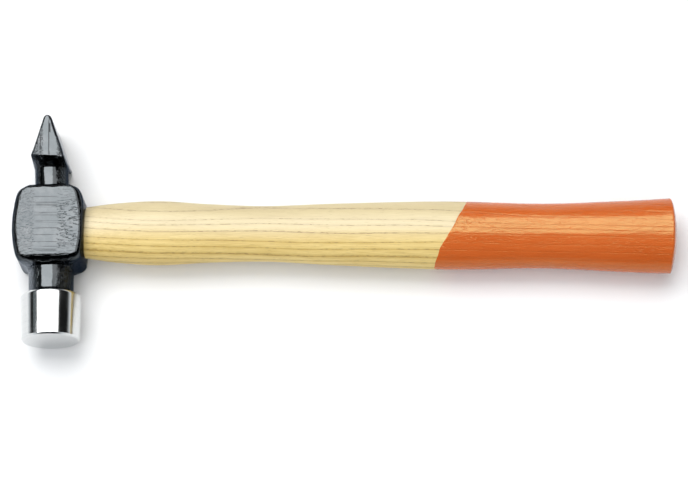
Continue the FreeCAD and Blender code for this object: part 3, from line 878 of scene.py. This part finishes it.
def black_paint():
    """Gloss black paint over the forging: ground lines mid-cheek, scale pits beside them, and
    brighter painted reflections on the necks' left sides and the wedge's right flank.
    """
    n = Nodes("gloss_black_paint")
    zones = paint_zones(n)
    scale = n.spread(n.noise((1.5, 1.2, 1.6), detail=3, rough=0.55), 0.36, 0.64)
    flakes = n.noise((4.0, 1.15, 2.2), detail=3, rough=0.55, distortion=0.5)
    flakes = n.times(n.spread(flakes, 0.49, 0.60), zones["midway"])
    lines = n.noise((70.0, 0.95, 70.0), detail=2, rough=0.5, distortion=0.05)
    lines = n.spread(lines, 0.585, 0.625)
    skin = n.noise((2.2, 1.3, 2.2), detail=3, rough=0.55)
    scaled = n.times(scale, zones["scaly"])
    flaked = n.times(flakes, zones["flaked"])
    ground = n.times(lines, zones["ground"])
    worn = n.spread(n.noise((6.0, 6.0, 6.0), detail=3), 0.42, 0.66)
    rough = n.plus(n.spread(worn, 0, 1, 0.08, 0.12), n.times(scaled, 0.03))
    colour = n.mix(worn, BLACK, WORN_BLACK)
    # painted reflection: the necks' left sides get a lighter black
    colour = n.mix(zones["left_side"], colour, PAINTED_REFLECTION_BLACK)
    # painted reflection: near-white tint on the wedge's right flank and the necks' left sides
    tint = n.mix(zones["bare"], PAINT_TINT, PAINTED_REFLECTION_TINT)
    normal = n.bumps([(skin, 0.030), (scaled, 0.080), (flaked, -0.090), (ground, -0.035)])
    return n.finish(
        Base_Color=colour, Metallic=1.0, Roughness=rough, Specular_Tint=tint, Normal=normal,
    )


def polished_steel(name="polished_steel", turned=True):
    """Ground steel; turned steel has its marks in rings about the head's axis."""
    n = Nodes(name)
    side, y, z = head_place(n)
    away = n.distance(side, n.minus(z, EYE_HEIGHT * MM))
    place = n.point(away, y) if turned else None
    marks = n.noise((0.12, 0.16, 1.0), detail=4, rough=0.65, vector=place)
    coarse = n.noise((0.7, 0.9, 1.0), detail=2, vector=place)
    smudge = n.noise((7.0, 9.0, 7.0), detail=3, rough=0.6)
    rough = n.plus(n.spread(smudge, 0.3, 0.75, 0.08, 0.14), n.times(marks, 0.05))
    colour = n.mix(n.spread(marks, 0.3, 0.7), STEEL, BRIGHT_STEEL)
    colour = n.mix(n.spread(coarse, 0.55, 0.8, 0.0, 0.25), colour, DULL_STEEL)
    normal = n.bumps([(marks, 0.007), (coarse, 0.016)])
    return n.finish(Base_Color=colour, Metallic=1.0, Roughness=rough, Normal=normal)


def growth_rings(n):
    """Share of the way from one growth ring to the next."""
    bend = n.noise((150.0, 30.0, 30.0), detail=2, rough=0.40)
    x, y, z = n.split()
    radius = n.distance(n.plus(y, HEART_ACROSS * MM), n.plus(z, HEART_BELOW * MM))
    bent = n.plus(radius, n.times(bend, RING_BEND * MM))
    drifting = n.plus(bent, n.times(x, RING_DRIFT))
    width = n.noise((7.0, 1.0, 1.0), detail=1, vector=n.point(drifting))
    rings = n.plus(n.times(drifting, 1 / (RING_WIDTH * MM)), n.times(width, RING_UNEVENNESS))
    return n.math("FRACT", rings)


def grain(n):
    """Parts of the grain of the handle's wood, each as a number from 0 to 1."""
    rings = growth_rings(n)
    early = n.times(n.spread(rings, 0.0, 0.03), n.spread(rings, 0.20, 0.08))
    dashes = n.noise((2.8, 0.34, 0.34), detail=2, rough=0.55)
    pores = n.times(n.spread(dashes, 0.52, 0.60), early)
    stray = n.spread(n.noise((5.0, 0.36, 0.36), detail=1), 0.66, 0.74, 0, 0.45)
    return {
        "rings": rings, "early": early, "pores": n.most(pores, stray),
        "fibres": n.noise((16.0, 0.38, 0.38), detail=3, rough=0.6),
        "broad": n.noise((75.0, 9.0, 9.0), detail=3, rough=0.5),
    }


def hickory():
    n = Nodes("oiled_hickory")
    wood = grain(n)
    fibres = wood["fibres"]
    colour = n.ramp(wood["rings"], HICKORY)
    colour = n.mix(1.0, colour, n.shade(wood["broad"], 0.30, 0.68, (0.88, 0.84, 0.74)), "MULTIPLY")
    colour = n.mix(1.0, colour, n.shade(fibres, 0.34, 0.58, (0.85, 0.80, 0.67)), "MULTIPLY")
    # painted sheen: the side towards the softbox is paler
    pale = n.past(n.split()["Y"], PALE_SIDE)
    colour = n.mix(pale, colour, n.mix(0.50, colour, PALE_HICKORY))
    colour = n.mix(n.times(wood["pores"], 0.70), colour, PORES)
    rough = n.spread(fibres, 0.3, 0.7, 0.40, 0.54)
    normal = n.bumps([(wood["pores"], -0.05), (fibres, 0.012)])
    return n.finish(Base_Color=colour, Roughness=rough, IOR=1.44, Normal=normal)


def orange_lacquer():
    """Dipped lacquer that has sunk a little into the grain under it."""
    n = Nodes("orange_lacquer")
    wood = grain(n)
    colour = n.ramp(wood["broad"], [(0.28, ORANGE), (0.72, LIGHT_ORANGE)])
    sunk = n.shade(wood["fibres"], 0.35, 0.60, (0.90, 0.84, 0.78))
    colour = n.mix(0.7, colour, sunk, "MULTIPLY")
    colour = n.mix(n.times(wood["early"], 0.18), colour, DARK_ORANGE)
    ripple = n.noise((4.0, 1.2, 1.2), detail=2, rough=0.5)
    dashes = n.spread(n.noise((2.5, 0.75, 0.75), detail=2, rough=0.5), 0.53, 0.61)
    strength = n.spread(n.noise((24.0, 7.0, 7.0), detail=1), 0.35, 0.65, 0.55, 1.0)
    swell = n.noise((30.0, 4.0, 4.0), detail=1)
    rough = n.spread(ripple, 0.3, 0.7, 0.085, 0.125)
    normal = n.bumps([
        (swell, 0.10), (ripple, 0.055), (n.times(dashes, strength), -0.060),
        (n.most(wood["early"], wood["pores"]), -0.060), (wood["fibres"], 0.020),
    ])
    return n.finish(
        Base_Color=colour, Roughness=rough, IOR=1.50, Specular_Tint=LACQUER_TINT, Normal=normal,
    )


def wedge_wood():
    n = Nodes("wedge_wood")
    fibres = n.noise((9.0, 0.3, 0.3), detail=4, rough=0.65)
    broad = n.noise((20.0, 3.0, 2.0), detail=2)
    colour = n.ramp(fibres, [(0.3, (0.30, 0.17, 0.07)), (0.7, (0.52, 0.34, 0.16))])
    colour = n.mix(1.0, colour, n.shade(broad, 0.3, 0.7, (0.75, 0.70, 0.62)), "MULTIPLY")
    rough = n.spread(fibres, 0.3, 0.7, 0.45, 0.7)
    return n.finish(Base_Color=colour, Roughness=rough, Normal=n.bump(fibres, 0.05))


def dress_wedges(wood, steel):
    """The wedges keep their CAD shapes, and have materials of their own."""
    for name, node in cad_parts.items():
        if name not in ("hammer_head", "handle"):
            for material_slot in node.material_slots:
                material_slot.material = wood if name == "wooden_wedge" else steel


# ---------------------------------------------------------------- studio

def floor():
    mesh = bpy.data.meshes.new("floor")
    around = ((-1, -1), (1, -1), (1, 1), (-1, 1))
    corners = [(x * FLOOR_HALF, y * FLOOR_HALF, FLOOR_HEIGHT) for x, y in around]
    mesh.from_pydata(corners, [], [(0, 1, 2, 3)])
    n = Nodes("floor_paper")
    tone = n.ramp(n.noise((300.0, 300.0, 300.0)), [(0.3, (0.86,) * 3), (0.7, (0.88,) * 3)])
    mesh.materials.append(n.finish(Base_Color=tone, Roughness=0.9))
    piece = bpy.data.objects.new("floor", mesh)
    bpy.context.scene.collection.objects.link(piece)


def lamp(name, place, size, radiance, toward=(0.0, 0.0, -1.0), colour=(1.0, 1.0, 1.0)):
    """Rectangular light of an even radiance that shines in one direction."""
    light = bpy.data.lights.new(name, "AREA")
    light.shape = "RECTANGLE"
    light.size, light.size_y = size
    light.energy = radiance * math.pi * size[0] * size[1]
    light.color = colour
    piece = bpy.data.objects.new(name, light)
    piece.location = place
    piece.rotation_euler = Vector(toward).to_track_quat("-Z", "Y").to_euler()
    bpy.context.scene.collection.objects.link(piece)
    return piece


def studio_world():
    """Dark studio whose walls lighten towards the floor."""
    world = bpy.data.worlds.new("studio")
    world.use_nodes = True
    nodes, links = world.node_tree.nodes, world.node_tree.links
    background = nodes["Background"]
    background.inputs["Color"].default_value = WALL_COLOUR
    direction = nodes.new("ShaderNodeTexCoord").outputs["Generated"]
    split = nodes.new("ShaderNodeSeparateXYZ")
    fade = nodes.new("ShaderNodeMapRange")
    fade.interpolation_type = "SMOOTHSTEP"
    for name, value in WALL_FADE.items():
        fade.inputs[name].default_value = value
    links.new(direction, split.inputs[0])
    links.new(split.outputs["Z"], fade.inputs["Value"])
    links.new(fade.outputs["Result"], background.inputs["Strength"])
    bpy.context.scene.world = world


def studio():
    """Floor, walls and lamps: some lamps are seen only in reflections, and others only light."""
    floor()
    for name, (place, size, shine) in SOFTBOXES.items():
        mirrored = lamp(name + "_mirrored", place, size, shine)
        mirrored.visible_diffuse = False
        below = (place[0], place[1], place[2] - CAST_BELOW)
        cast = lamp(name + "_cast", below, size, shine * CAST_SHARE)
        cast.visible_glossy = False
    flag = lamp("grey_flag", *GREY_FLAG, colour=GREY_FLAG_COLOUR)
    flag.visible_diffuse = False
    fill = lamp("fill", *FILL, FILL_TOWARD, FILL_COLOUR)
    fill.visible_glossy = False
    studio_world()
    bpy.context.scene.view_settings.view_transform = "Standard"


def camera():
    """The photographer's place: above the middle of the handle, a little to the poll's side."""
    aim = Vector(CAMERA_AIM)
    back = Vector(CAMERA_BACK).normalized()
    up = (Vector((0, 1, 0)) - back * back.y).normalized()
    right = up.cross(back)
    across = right * math.cos(CAMERA_ROLL) + up * math.sin(CAMERA_ROLL)
    upward = up * math.cos(CAMERA_ROLL) - right * math.sin(CAMERA_ROLL)
    data = bpy.data.cameras.new("camera")
    data.sensor_width = SENSOR_WIDTH
    data.lens = LENS
    data.clip_start, data.clip_end = CAMERA_CLIP
    eye = bpy.data.objects.new("camera", data)
    turned = Matrix((across, upward, back)).transposed().to_4x4()
    eye.matrix_world = Matrix.Translation(aim + back * CAMERA_DISTANCE) @ turned
    bpy.context.scene.collection.objects.link(eye)
    bpy.context.scene.camera = eye


make_head(black_paint(), polished_steel())
make_handle(hickory(), orange_lacquer())
dress_wedges(wedge_wood(), polished_steel("ground_wedge_steel", turned=False))
studio()
camera()
